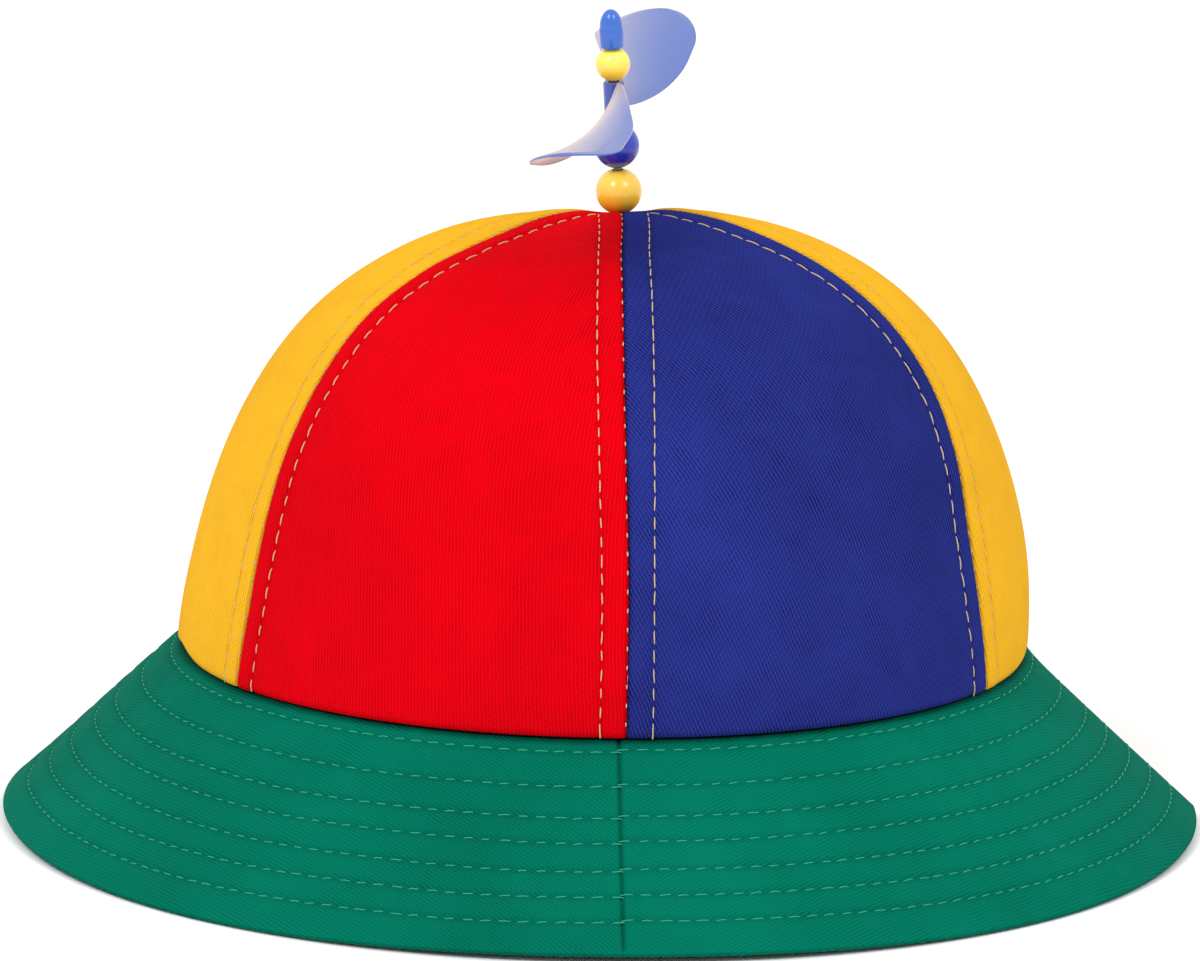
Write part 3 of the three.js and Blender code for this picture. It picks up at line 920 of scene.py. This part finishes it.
# %% Make the beads
BORE_RADIUS = 1.25 * MM
TURN_GAP = 0.3 * MM
BASE_BEAD_RADIUS = 5.1 * MM
MIDDLE_BEAD_RADIUS = 5 * MM
TOP_BEAD_RADIUS = 3.8 * MM
PARTING_RISE = 0.015 * MM
PARTING_WIDTH = 0.12 * MM
BEAD_STEPS = 56


def bore_rim(radius):
    """How far above a bead's middle the rim of its bore lies."""
    return math.sqrt(radius**2 - BORE_RADIUS**2)


def bead_outline(radius, middle):
    reach = math.acos(BORE_RADIUS / radius)
    outline = []
    for step in range(BEAD_STEPS + 1):
        angle = -reach + 2 * reach * step / BEAD_STEPS
        parting = PARTING_RISE * math.exp(-((radius * angle / PARTING_WIDTH) ** 2))
        outline.append(((radius + parting) * math.cos(angle), middle + radius * math.sin(angle)))
    rim = bore_rim(radius) - 0.25 * MM
    inside = BORE_RADIUS - 0.02 * MM
    return outline + [(inside, middle + rim), (inside, middle - rim)]


base_middle = (BASE_BEAD_RADIUS + TURN_GAP) / math.cos(CLOTH_SLANT)
middle_middle = base_middle + BASE_BEAD_RADIUS + TURN_GAP + MIDDLE_BEAD_RADIUS
hub_bottom = middle_middle + bore_rim(MIDDLE_BEAD_RADIUS) + TURN_GAP
HUB_LENGTH = 9.5 * MM
hub_middle = hub_bottom + HUB_LENGTH / 2
top_middle = hub_bottom + HUB_LENGTH + TURN_GAP + bore_rim(TOP_BEAD_RADIUS)

# Each bead: node, radius, middle, slot, its colour, and the deeper colour painted towards its bottom as
# shade.
BEADS = [
    ("bead_base", BASE_BEAD_RADIUS, base_middle, "bead_yellow", (248, 204, 72), (242, 178, 40)),
    ("bead_middle", MIDDLE_BEAD_RADIUS, middle_middle, "bead_blue", (40, 58, 180), (26, 36, 150)),
    ("bead_top", TOP_BEAD_RADIUS, top_middle, "bead_pale_yellow", (252, 226, 96), (246, 196, 40)),
]
for node, radius, middle, slot, colour, deep_and_shade in BEADS:
    plastic = make_plastic(slot, linear(*colour), linear(*deep_and_shade), depth_and_shade_attribute="depth_and_shade")
    mesh = lathe_mesh(node + "_ball", bead_outline(radius, middle))
    heights = np.array([(STACK.inverted() @ v.co).z - middle for v in mesh.vertices])
    # Painted shade: the deep colour grows from nothing near the top to full at the bottom.
    write_mask(mesh, "depth_and_shade", smooth_step(0.45 - heights / radius * 0.55))
    finish_plastic(node + "_ball", mesh, plastic, node, "hat")
    print(node, "is", round(2 * radius / MM, 1), "mm across")

# %% [markdown]
# ## Cap and pin
# The cap is a blunt bullet pushed over the pin's end. A small step, where its skirt meets the
# nose, catches a line of light. The pin is plain wire with a flat head that holds it inside the
# crown, where only somebody who turns the hat over would see it.

# %% Make the cap and the pin
CAP_RADIUS = 2.65 * MM
CAP_SKIRT = 4.5 * MM
CAP_NOSE = 4 * MM
CAP_SOCKET = 5 * MM
CAP_STEP = 0.14 * MM
PIN_RADIUS = 0.9 * MM
PIN_HEAD_RADIUS = 4 * MM
PIN_HEAD_THICKNESS = 1.2 * MM

cap_bottom = top_middle + bore_rim(TOP_BEAD_RADIUS) + TURN_GAP
pin_top = cap_bottom + CAP_SOCKET - TURN_GAP
head_top = -CROWN_WALL - TURN_GAP - PIN_HEAD_RADIUS * math.sin(CLOTH_SLANT + PIN_LEAN)


def cap_outline():
    edge = 0.25 * MM
    outline = [
        (0, CAP_SOCKET),
        (BORE_RADIUS, CAP_SOCKET),
        (BORE_RADIUS, 0),
        (CAP_RADIUS - edge, 0),
        (CAP_RADIUS - 0.3 * edge, 0.3 * edge),
        (CAP_RADIUS, edge),
        (CAP_RADIUS, CAP_SKIRT - 2 * CAP_STEP),
        (CAP_RADIUS - 0.5 * CAP_STEP, CAP_SKIRT - CAP_STEP),
    ]
    for step in range(25):
        angle = step / 24 * math.pi / 2
        nose = (CAP_RADIUS - CAP_STEP) * math.cos(angle)
        outline.append((nose if step < 24 else 0, CAP_SKIRT + CAP_NOSE * math.sin(angle)))
    return [(radius, cap_bottom + height) for radius, height in outline]


def make_pin_metal():
    material, tree, shader = start_material("pin_wire")
    around = add_node(tree, "ShaderNodeTexCoord").outputs["Object"]
    drawn = add_node(tree, "ShaderNodeMapping", {"Vector": around, "Scale": (1, 1, 0.08)}).outputs[0]
    marks = noise(tree, drawn, 2500.0, 2.0)
    colour = blend_colours(tree, marks, linear(88, 90, 96), linear(128, 130, 136))
    tree.links.new(colour, shader["Base Color"])
    tree.links.new(calculate(tree, "MULTIPLY_ADD", marks, 0.3, 0.2), shader["Roughness"])
    shader["Metallic"].default_value = 1.0
    return material


cap_plastic = make_plastic("cap_blue", linear(44, 98, 188), linear(30, 70, 170), roughness=0.2)
cap_mesh = lathe_mesh("axle_cap_bullet", cap_outline())
finish_plastic("axle_cap_bullet", cap_mesh, cap_plastic, "axle_cap", "hat")
pin_outline = [
    (0, head_top - PIN_HEAD_THICKNESS),
    (PIN_HEAD_RADIUS - 0.3 * MM, head_top - PIN_HEAD_THICKNESS),
    (PIN_HEAD_RADIUS, head_top - PIN_HEAD_THICKNESS + 0.3 * MM),
    (PIN_HEAD_RADIUS, head_top),
    (PIN_RADIUS, head_top),
    (PIN_RADIUS, pin_top),
    (0, pin_top),
]
pin_mesh = lathe_mesh("axle_pin_wire", pin_outline)
finish_plastic("axle_pin_wire", pin_mesh, make_pin_metal(), "axle_pin", "hat")
print("the cap ends", round((cap_bottom + CAP_SKIRT + CAP_NOSE) / MM, 1), "mm up the pin")

# %% [markdown]
# ## Propeller
# Hub and blades are one moulding in milky plastic. A blade is a strip that starts almost on edge
# at the hub, twists flat towards its tip, and is hollow on one side. The strip is a grid: one
# direction runs along the blade and the other across it, and its thickness thins out to the edge.

# %% Blade surface
HUB_RADIUS = 2.35 * MM
BLADE_REACH = 59.5 * MM
BLADE_ROOT = 1.9 * MM
BLADE_CHORD = 21.4 * MM
BLADE_THICKNESS = 0.8 * MM
BLADE_EDGE_THICKNESS = 0.4 * MM
BLADE_ROOT_PITCH = math.radians(80.5)
BLADE_TIP_PITCH = math.radians(5.8)
BLADE_TWIST_POWER = 1.3
BLADE_HOLLOW = 1.9 * MM
BLADE_RISE = 5.3 * MM
BLADE_DROP = 0.35 * MM
BLADE_TURN = math.radians(15.3)
TIP_START = 0.8
BLADE_ALONG = [0, 0.12, 0.28, 0.46, 0.64, TIP_START]
BLADE_SIDES = {
    "lead": {"widths": [0.25, 0.36, 0.435, 0.51, 0.58, 0.56], "tip_roundness": 2.1},
    "trail": {"widths": [0.06, 0.15, 0.26, 0.36, 0.415, 0.41], "tip_roundness": 1.9},
}


def blade_width(along, side):
    widths = BLADE_SIDES[side]["widths"]
    roundness = BLADE_SIDES[side]["tip_roundness"]
    inner = smooth_curve(np.minimum(along, TIP_START), BLADE_ALONG, widths)
    past = np.clip((along - TIP_START) / (1 - TIP_START), 0, 1)
    return BLADE_CHORD * inner * (1 - past**roundness) ** (1 / roundness)


def blade_surface(along, chord):
    twist = np.maximum(0, 1 - along) ** BLADE_TWIST_POWER
    pitch = BLADE_TIP_PITCH + (BLADE_ROOT_PITCH - BLADE_TIP_PITCH) * twist
    bend = -BLADE_HOLLOW * (chord / (BLADE_CHORD / 2)) ** 2
    return np.stack([
        chord * np.cos(pitch) - bend * np.sin(pitch),
        -(BLADE_ROOT + along * (BLADE_REACH - BLADE_ROOT)) + 0 * chord,
        chord * np.sin(pitch) + bend * np.cos(pitch) + BLADE_RISE * along**2 - BLADE_DROP,
    ], axis=-1)


def blade_facing(along, chord):
    step = 1e-5
    across = blade_surface(along, chord + step) - blade_surface(along, chord - step)
    outward = blade_surface(along + step, chord) - blade_surface(along - step, chord)
    facing = np.cross(across, outward)
    return facing / np.linalg.norm(facing, axis=-1, keepdims=True)


print("a blade is", round(BLADE_CHORD / MM, 1), "mm at its widest")

# %% [markdown]
# ## Joining the propeller
# The two blades and the hub are joined with a boolean, as they are one piece of plastic. After
# that, every point gets a depth: thick plastic near the hub swallows more light than the thin
# blades and looks a deeper blue.

# %% Mould the propeller
BLADE_ROWS = 90
BLADE_COLUMNS = 34
ROOT_DEPTH_REACH = 6.5 * MM


def blade_mesh(name, half_turn):
    even = np.linspace(0, 1, BLADE_ROWS)
    stations = np.sin(even * math.pi / 2) * 0.35 + even * 0.65
    stations[-1] = 0.9995
    share = np.linspace(0, 1, BLADE_COLUMNS)
    share = 0.5 - 0.5 * np.cos(share * math.pi)
    along, share = np.meshgrid(stations, share, indexing="ij")
    lead = blade_width(along, "lead")
    trail = blade_width(along, "trail")
    chord = -trail + (lead + trail) * share
    to_edge = np.minimum(chord + trail, lead - chord)
    body = smooth_step(to_edge / (2.2 * MM))
    thickness = BLADE_EDGE_THICKNESS + (BLADE_THICKNESS - BLADE_EDGE_THICKNESS) * body
    middle = blade_surface(along, chord)
    offset = blade_facing(along, chord) * (thickness / 2)[..., None]
    turn = np.array(Matrix.Rotation(half_turn - BLADE_TURN, 3, "Z"))
    return wall_mesh(name, (middle + offset) @ turn.T, (middle - offset) @ turn.T)


def hub_mesh():
    half = HUB_LENGTH / 2
    soft = 0.3 * MM
    outline = [
        (BORE_RADIUS, -half),
        (HUB_RADIUS - soft, -half),
        (HUB_RADIUS, -half + soft),
        (HUB_RADIUS, half - soft),
        (HUB_RADIUS - soft, half),
        (BORE_RADIUS, half),
    ]
    return lathe_mesh("hub", [(radius, hub_middle + height) for radius, height in outline])


def mould_propeller():
    hub = bpy.data.objects.new("hub", hub_mesh())
    bpy.context.scene.collection.objects.link(hub)
    lifted = STACK @ Matrix.Translation((0, 0, hub_middle))
    for number, half_turn in enumerate((0, math.pi)):
        mesh = blade_mesh(f"blade_{number}", half_turn)
        mesh.transform(lifted)
        blade = bpy.data.objects.new(f"blade_{number}", mesh)
        bpy.context.scene.collection.objects.link(blade)
        blade.hide_render = True
        union = hub.modifiers.new(f"join_{number}", "BOOLEAN")
        union.operation = "UNION"
        union.solver = "EXACT"
        union.object = blade
    depsgraph = bpy.context.evaluated_depsgraph_get()
    joined = bpy.data.meshes.new_from_object(hub.evaluated_get(depsgraph))
    for helper in (hub, bpy.data.objects["blade_0"], bpy.data.objects["blade_1"]):
        bpy.data.objects.remove(helper)
    joined.name = "propeller_moulding"
    joined.materials.clear()
    return joined


def propeller_depth(mesh):
    to_stack = STACK.inverted()
    local = np.array([to_stack @ vertex.co for vertex in mesh.vertices])
    from_axis = np.hypot(local[:, 0], local[:, 1])
    return 1 - smooth_step((from_axis - HUB_RADIUS) / ROOT_DEPTH_REACH)


propeller_plastic = make_plastic(
    "propeller", linear(78, 104, 176), linear(48, 80, 172), 0.34, "depth_and_shade", linear(255, 228, 196)
)
propeller_mesh = mould_propeller()
write_mask(propeller_mesh, "depth_and_shade", propeller_depth(propeller_mesh))
propeller = finish_plastic(
    "propeller_moulding", propeller_mesh, propeller_plastic, "propeller", "spinner"
)
print("propeller:", len(propeller_mesh.polygons), "faces")

# %% [markdown]
# ## Thread
# Sewing thread is two plies twisted together and waxed, so it is smoother than the cloth. The
# twist shows as slanting bands along each stitch. Each row gets its own colour, because the
# crown was sewn with one thread and the brim with another.

# %% Thread material
THREAD_THICKNESS = 0.32 * MM
TWIST_TURNS = 7.0


def make_thread(name, colour):
    material, tree, shader = start_material(name)
    along = add_node(tree, "ShaderNodeAttribute", attribute_name="stitch_along").outputs["Fac"]
    about = add_node(tree, "ShaderNodeAttribute", attribute_name="stitch_about").outputs["Fac"]
    turns = calculate(tree, "MULTIPLY_ADD", along, TWIST_TURNS, about)
    wave = calculate(tree, "SINE", calculate(tree, "MULTIPLY", turns, 2 * math.pi))
    ply = calculate(tree, "MULTIPLY_ADD", wave, 0.5, 0.5)
    # Painted shade: the grooves between the two plies are darker in the colour, following the bump.
    value = calculate(tree, "MULTIPLY_ADD", ply, 0.3, 0.8)
    toned = add_node(tree, "ShaderNodeHueSaturation", {"Value": value, "Color": colour})
    bump = add_node(
        tree, "ShaderNodeBump", {"Strength": 0.5, "Distance": 0.1 * MM, "Height": ply}
    )
    tree.links.new(toned.outputs[0], shader["Base Color"])
    tree.links.new(calculate(tree, "MULTIPLY_ADD", ply, 0.15, 0.5), shader["Roughness"])
    tree.links.new(bump.outputs[0], shader["Normal"])
    shader["Specular IOR Level"].default_value = 0.15
    return material


crown_thread = make_thread("crown_thread", linear(206, 178, 134))
brim_thread = make_thread("brim_thread", linear(44, 158, 122))
print("threads:", crown_thread.name, "and", brim_thread.name)

# %% [markdown]
# ## Stitches by Geometry Nodes
# There are well over a thousand stitches, all alike and all lying on lines that are already
# known. Geometry Nodes make them: the line is cut into equal steps, a bent bit of thread
# is set on each, turned to follow the line and the cloth, and the copies are made real at the end.

# %% The stitch tree
def build_stitch_tree():
    tree, given, result = start_group(
        "Stitch row",
        [
            ("Geometry", "NodeSocketGeometry", None),
            ("Step", "NodeSocketFloat", 4 * MM),
            ("Stitch length", "NodeSocketFloat", 2.6 * MM),
            ("Thickness", "NodeSocketFloat", THREAD_THICKNESS),
            ("Rise", "NodeSocketFloat", 0.05 * MM),
            ("Dip", "NodeSocketFloat", 0.2 * MM),
            ("Slant", "NodeSocketFloat", 0.0),
            ("Seed", "NodeSocketInt", 1),
            ("Material", "NodeSocketMaterial", None),
        ],
        [("Geometry", "NodeSocketGeometry")],
        "GeometryNodeTree",
    )
    line = add_node(tree, "GeometryNodeMeshToCurve", {0: given["Geometry"]}).outputs[0]
    steps = add_node(
        tree, "GeometryNodeResampleCurve", {"Curve": line, "Length": given["Step"]}, mode="LENGTH"
    ).outputs[0]
    half = calculate(tree, "MULTIPLY", given["Stitch length"], 0.5)
    minus_half = calculate(tree, "MULTIPLY", half, -1.0)
    down = calculate(tree, "MULTIPLY", given["Dip"], -1.0)
    crest = calculate(tree, "MULTIPLY_ADD", given["Rise"], 2.0, given["Dip"])
    start = add_node(tree, "ShaderNodeCombineXYZ", {0: minus_half, 2: down}).outputs[0]
    middle = add_node(tree, "ShaderNodeCombineXYZ", {2: crest}).outputs[0]
    end = add_node(tree, "ShaderNodeCombineXYZ", {0: half, 2: down}).outputs[0]
    bow = add_node(
        tree,
        "GeometryNodeCurveQuadraticBezier",
        {"Resolution": 6, "Start": start, "Middle": middle, "End": end},
    ).outputs[0]
    ring = add_node(
        tree,
        "GeometryNodeCurvePrimitiveCircle",
        {"Resolution": 6, "Radius": calculate(tree, "MULTIPLY", given["Thickness"], 0.5)},
    ).outputs[0]

    def with_share(curve, name):
        share = add_node(tree, "GeometryNodeSplineParameter").outputs["Factor"]
        node = add_node(
            tree, "GeometryNodeStoreNamedAttribute", {"Geometry": curve, "Name": name, "Value": share}
        )
        return node.outputs[0]

    thread = add_node(
        tree,
        "GeometryNodeCurveToMesh",
        {
            "Curve": with_share(bow, "stitch_along"),
            "Profile Curve": with_share(ring, "stitch_about"),
            "Fill Caps": True,
        },
    ).outputs[0]
    facing = add_node(
        tree, "GeometryNodeInputNamedAttribute", {"Name": "facing"}, data_type="FLOAT_VECTOR"
    ).outputs[0]
    forward = add_node(tree, "GeometryNodeInputTangent").outputs[0]
    aimed = add_node(
        tree,
        "FunctionNodeAxesToRotation",
        {0: facing, 1: forward},
        primary_axis="Z",
        secondary_axis="X",
    ).outputs[0]

    def stray(smallest, largest, shift):
        node = add_node(
            tree,
            "FunctionNodeRandomValue",
            {"Seed": calculate(tree, "ADD", given["Seed"], shift)},
            data_type="FLOAT",
        )
        floats = [s for s in node.inputs if s.type == "VALUE"]
        floats[0].default_value = smallest
        floats[1].default_value = largest
        return next(s for s in node.outputs if s.type == "VALUE")

    turn = calculate(tree, "ADD", given["Slant"], stray(-0.07, 0.07, 0))
    twist = add_node(tree, "ShaderNodeCombineXYZ", {2: turn}).outputs[0]
    turned = add_node(
        tree, "FunctionNodeRotateRotation", {0: aimed, 1: twist}, rotation_space="LOCAL"
    ).outputs[0]
    size = add_node(tree, "ShaderNodeCombineXYZ", {0: stray(0.9, 1.08, 7), 1: 1.0, 2: 1.0}).outputs[0]
    placed = add_node(
        tree,
        "GeometryNodeInstanceOnPoints",
        {"Points": steps, "Instance": thread, "Rotation": turned, "Scale": size},
    ).outputs[0]
    real = add_node(tree, "GeometryNodeRealizeInstances", {"Geometry": placed}).outputs[0]
    smooth = add_node(tree, "GeometryNodeSetShadeSmooth", {"Geometry": real}).outputs[0]
    coloured = add_node(
        tree, "GeometryNodeSetMaterial", {"Geometry": smooth, "Material": given["Material"]}
    ).outputs[0]
    tree.links.new(coloured, result["Geometry"])
    return tree


stitch_tree = build_stitch_tree()
print("built the tree", stitch_tree.name, "with", len(stitch_tree.nodes), "nodes")

# %% [markdown]
# ## Sewing a row
# A row starts as a bare line of points, and each point remembers which way the cloth faces
# there. The tree is put on that line as a modifier, its sizes are set, and the result is kept as
# a plain mesh, so nothing has to be worked out again when the hat is shown or exported.

# %% Lines and sewing
def line_mesh(name, rows):
    """Mesh of bare lines. Each row is a pair of arrays: the points, and the cloth's facing."""
    points = np.concatenate([row[0] for row in rows])
    facings = np.concatenate([row[1] for row in rows])
    edges = []
    start = 0
    for row in rows:
        count = len(row[0])
        edges += [(start + step, start + step + 1) for step in range(count - 1)]
        start += count
    mesh = bpy.data.meshes.new(name)
    mesh.from_pydata(points.tolist(), edges, [])
    layer = mesh.attributes.new("facing", "FLOAT_VECTOR", "POINT")
    layer.data.foreach_set("vector", facings.ravel().astype(np.float32))
    return mesh


def sew(name, rows, settings):
    lines = bpy.data.objects.new(name + "_lines", line_mesh(name + "_lines", rows))
    bpy.context.scene.collection.objects.link(lines)
    modifier = lines.modifiers.new("sewing", "NODES")
    modifier.node_group = stitch_tree
    for item in stitch_tree.interface.items_tree:
        if item.in_out == "INPUT" and item.name in settings:
            modifier[item.identifier] = settings[item.name]
    depsgraph = bpy.context.evaluated_depsgraph_get()
    mesh = bpy.data.meshes.new_from_object(lines.evaluated_get(depsgraph))
    bpy.data.objects.remove(lines)
    mesh.name = name
    piece = bpy.data.objects.new(name, mesh)
    bpy.context.scene.collection.objects.link(piece)
    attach(piece, "hat")
    print(name, "has", len(mesh.polygons), "faces")
    return piece


print("ready to sew")

# %% [markdown]
# ## Topstitching on the crown
# Each panel is stitched down 5.6 mm from both of its seams, from the hem up to where the two
# rows meet near the pin. The blue panels were sewn with longer stitches than the others. Small
# stitches of the seam itself peep out of the valley between two panels.

# %% Sew the crown
ROW_POINTS = 160
STITCH_STEP = 4.0 * MM
STITCH_LENGTHS = {"red": 3.0 * MM, "blue": 3.6 * MM, "yellow": 3.0 * MM}
SEAM_THREAD_RISE = 0.2 * MM


def crown_row(index, to_seam, sign, lowest, gap):
    highest = DOME["arc"][DOME["radius"] * PANEL_HALF_ANGLE > to_seam + 0.9 * MM][-1]
    arc = np.linspace(lowest, highest, ROW_POINTS)

    def spot(shift_side, shift_arc):
        place = arc + shift_arc
        side = sign * (1 - to_seam / (dome_at(place, "radius") * PANEL_HALF_ANGLE))
        lift, _ = crown_relief(np.full_like(place, to_seam), place, panel_seed(index))
        return crown_points(index, side + shift_side, place, lift, gap)

    across = spot(1e-3, 0) - spot(-1e-3, 0)
    upward = spot(0, 0.3 * MM) - spot(0, -0.3 * MM)
    facing = np.cross(across, upward)
    return spot(0, 0), facing / np.linalg.norm(facing, axis=1, keepdims=True)


for colour in ("red", "blue", "yellow"):
    rows = []
    for index, (_, panel_colour) in enumerate(PANELS):
        if panel_colour == colour:
            for sign in (-1, 1):
                rows.append(crown_row(index, TOPSTITCH_OFFSET, sign, 1.5 * MM, CLOTH_SEAM_GAP))
    settings = {
        "Step": STITCH_STEP,
        "Stitch length": STITCH_LENGTHS[colour],
        "Seed": 11,
        "Material": crown_thread,
    }
    sew(f"topstitching_{colour}", rows, settings)

seam_rows = [crown_row(index, 0.16 * MM, 1, 3 * MM, CLOTH_SEAM_GAP) for index in range(len(PANELS))]
seam_settings = {
    "Step": STITCH_STEP,
    "Stitch length": 1.0 * MM,
    "Thickness": 0.32 * MM,
    "Rise": SEAM_THREAD_RISE,
    "Seed": 31,
    "Material": crown_thread,
}
sew("seam_stitching", seam_rows, seam_settings)

# %% [markdown]
# ## Rows on the brim
# The seven rows on the brim hold its two layers together. They start at the brim's seam and
# come round to it again a little lower, so their ends do not quite meet. Their thread nearly
# matches the cloth, and each stitch lies slightly aslant.

# %% Sew the brim
BRIM_STITCH_STEP = 3.95 * MM
BRIM_STITCH_LENGTH = 2.9 * MM
BRIM_STITCH_SLANT = math.radians(4)


def brim_row(row):
    clear = 0.8 * MM / BRIM_TOP_RADIUS
    around = np.linspace(clear, 2 * math.pi - clear, 6 * ROW_POINTS)
    slant = row_slant(row, around)
    lift, _ = brim_relief(slant, around)
    step = 1e-3
    across = brim_points(slant, around + step, 0) - brim_points(slant, around - step, 0)
    downward = brim_points(slant + 0.3 * MM, around, 0) - brim_points(slant - 0.3 * MM, around, 0)
    facing = np.cross(downward, across)
    return brim_points(slant, around, lift), facing / np.linalg.norm(facing, axis=1, keepdims=True)


brim_settings = {
    "Step": BRIM_STITCH_STEP,
    "Stitch length": BRIM_STITCH_LENGTH,
    "Slant": BRIM_STITCH_SLANT,
    "Seed": 51,
    "Material": brim_thread,
}
sew("brim_stitching", [brim_row(row) for row in STITCH_ROWS], brim_settings)

# %% [markdown]
# ## Floor and light
# The hat stands on a plain pale floor, under a white sky that fills the shadows. A large soft
# light from the front left gives the folds their shape, and a weaker one from the right keeps
# that side from going dull.

# %% Floor and lights
FLOOR_SIZE = 14
SKY_STRENGTH = 1.0


def make_floor():
    material, tree, shader = start_material("pale_floor")
    place = add_node(tree, "ShaderNodeTexCoord").outputs["Object"]
    cloud = noise(tree, place, 3.0, 4.0)
    tone = blend_colours(tree, cloud, (0.93, 0.93, 0.935, 1), (0.96, 0.96, 0.96, 1))
    tree.links.new(tone, shader["Base Color"])
    shader["Roughness"].default_value = 0.8
    half = FLOOR_SIZE / 2
    mesh = bpy.data.meshes.new("floor")
    corners = [(-half, -half, 0), (half, -half, 0), (half, half, 0), (-half, half, 0)]
    mesh.from_pydata(corners, [], [(0, 1, 2, 3)])
    floor = add_object("floor", mesh, material)
    floor.location.z = -0.2 * MM
    return floor


def add_area_light(name, place, aim, size, power):
    light = bpy.data.lights.new(name, "AREA")
    light.size = size
    light.energy = power
    lamp = bpy.data.objects.new(name, light)
    lamp.location = place
    lamp.rotation_euler = (Vector(aim) - Vector(place)).to_track_quat("-Z", "Y").to_euler()
    bpy.context.scene.collection.objects.link(lamp)
    return lamp


floor = make_floor()
world = bpy.data.worlds.new("white_sky")
world.use_nodes = True
world.node_tree.nodes["Background"].inputs["Color"].default_value = (1, 1, 1, 1)
world.node_tree.nodes["Background"].inputs["Strength"].default_value = SKY_STRENGTH
bpy.context.scene.world = world
bpy.context.scene.view_settings.view_transform = "Standard"
add_area_light("key", (-1.15, -1.4, 1.75), (0, 0, 0.07), 0.8, 20)
add_area_light("fill", (1.15, -1.4, 1.75), (0, 0, 0.07), 0.8, 13)
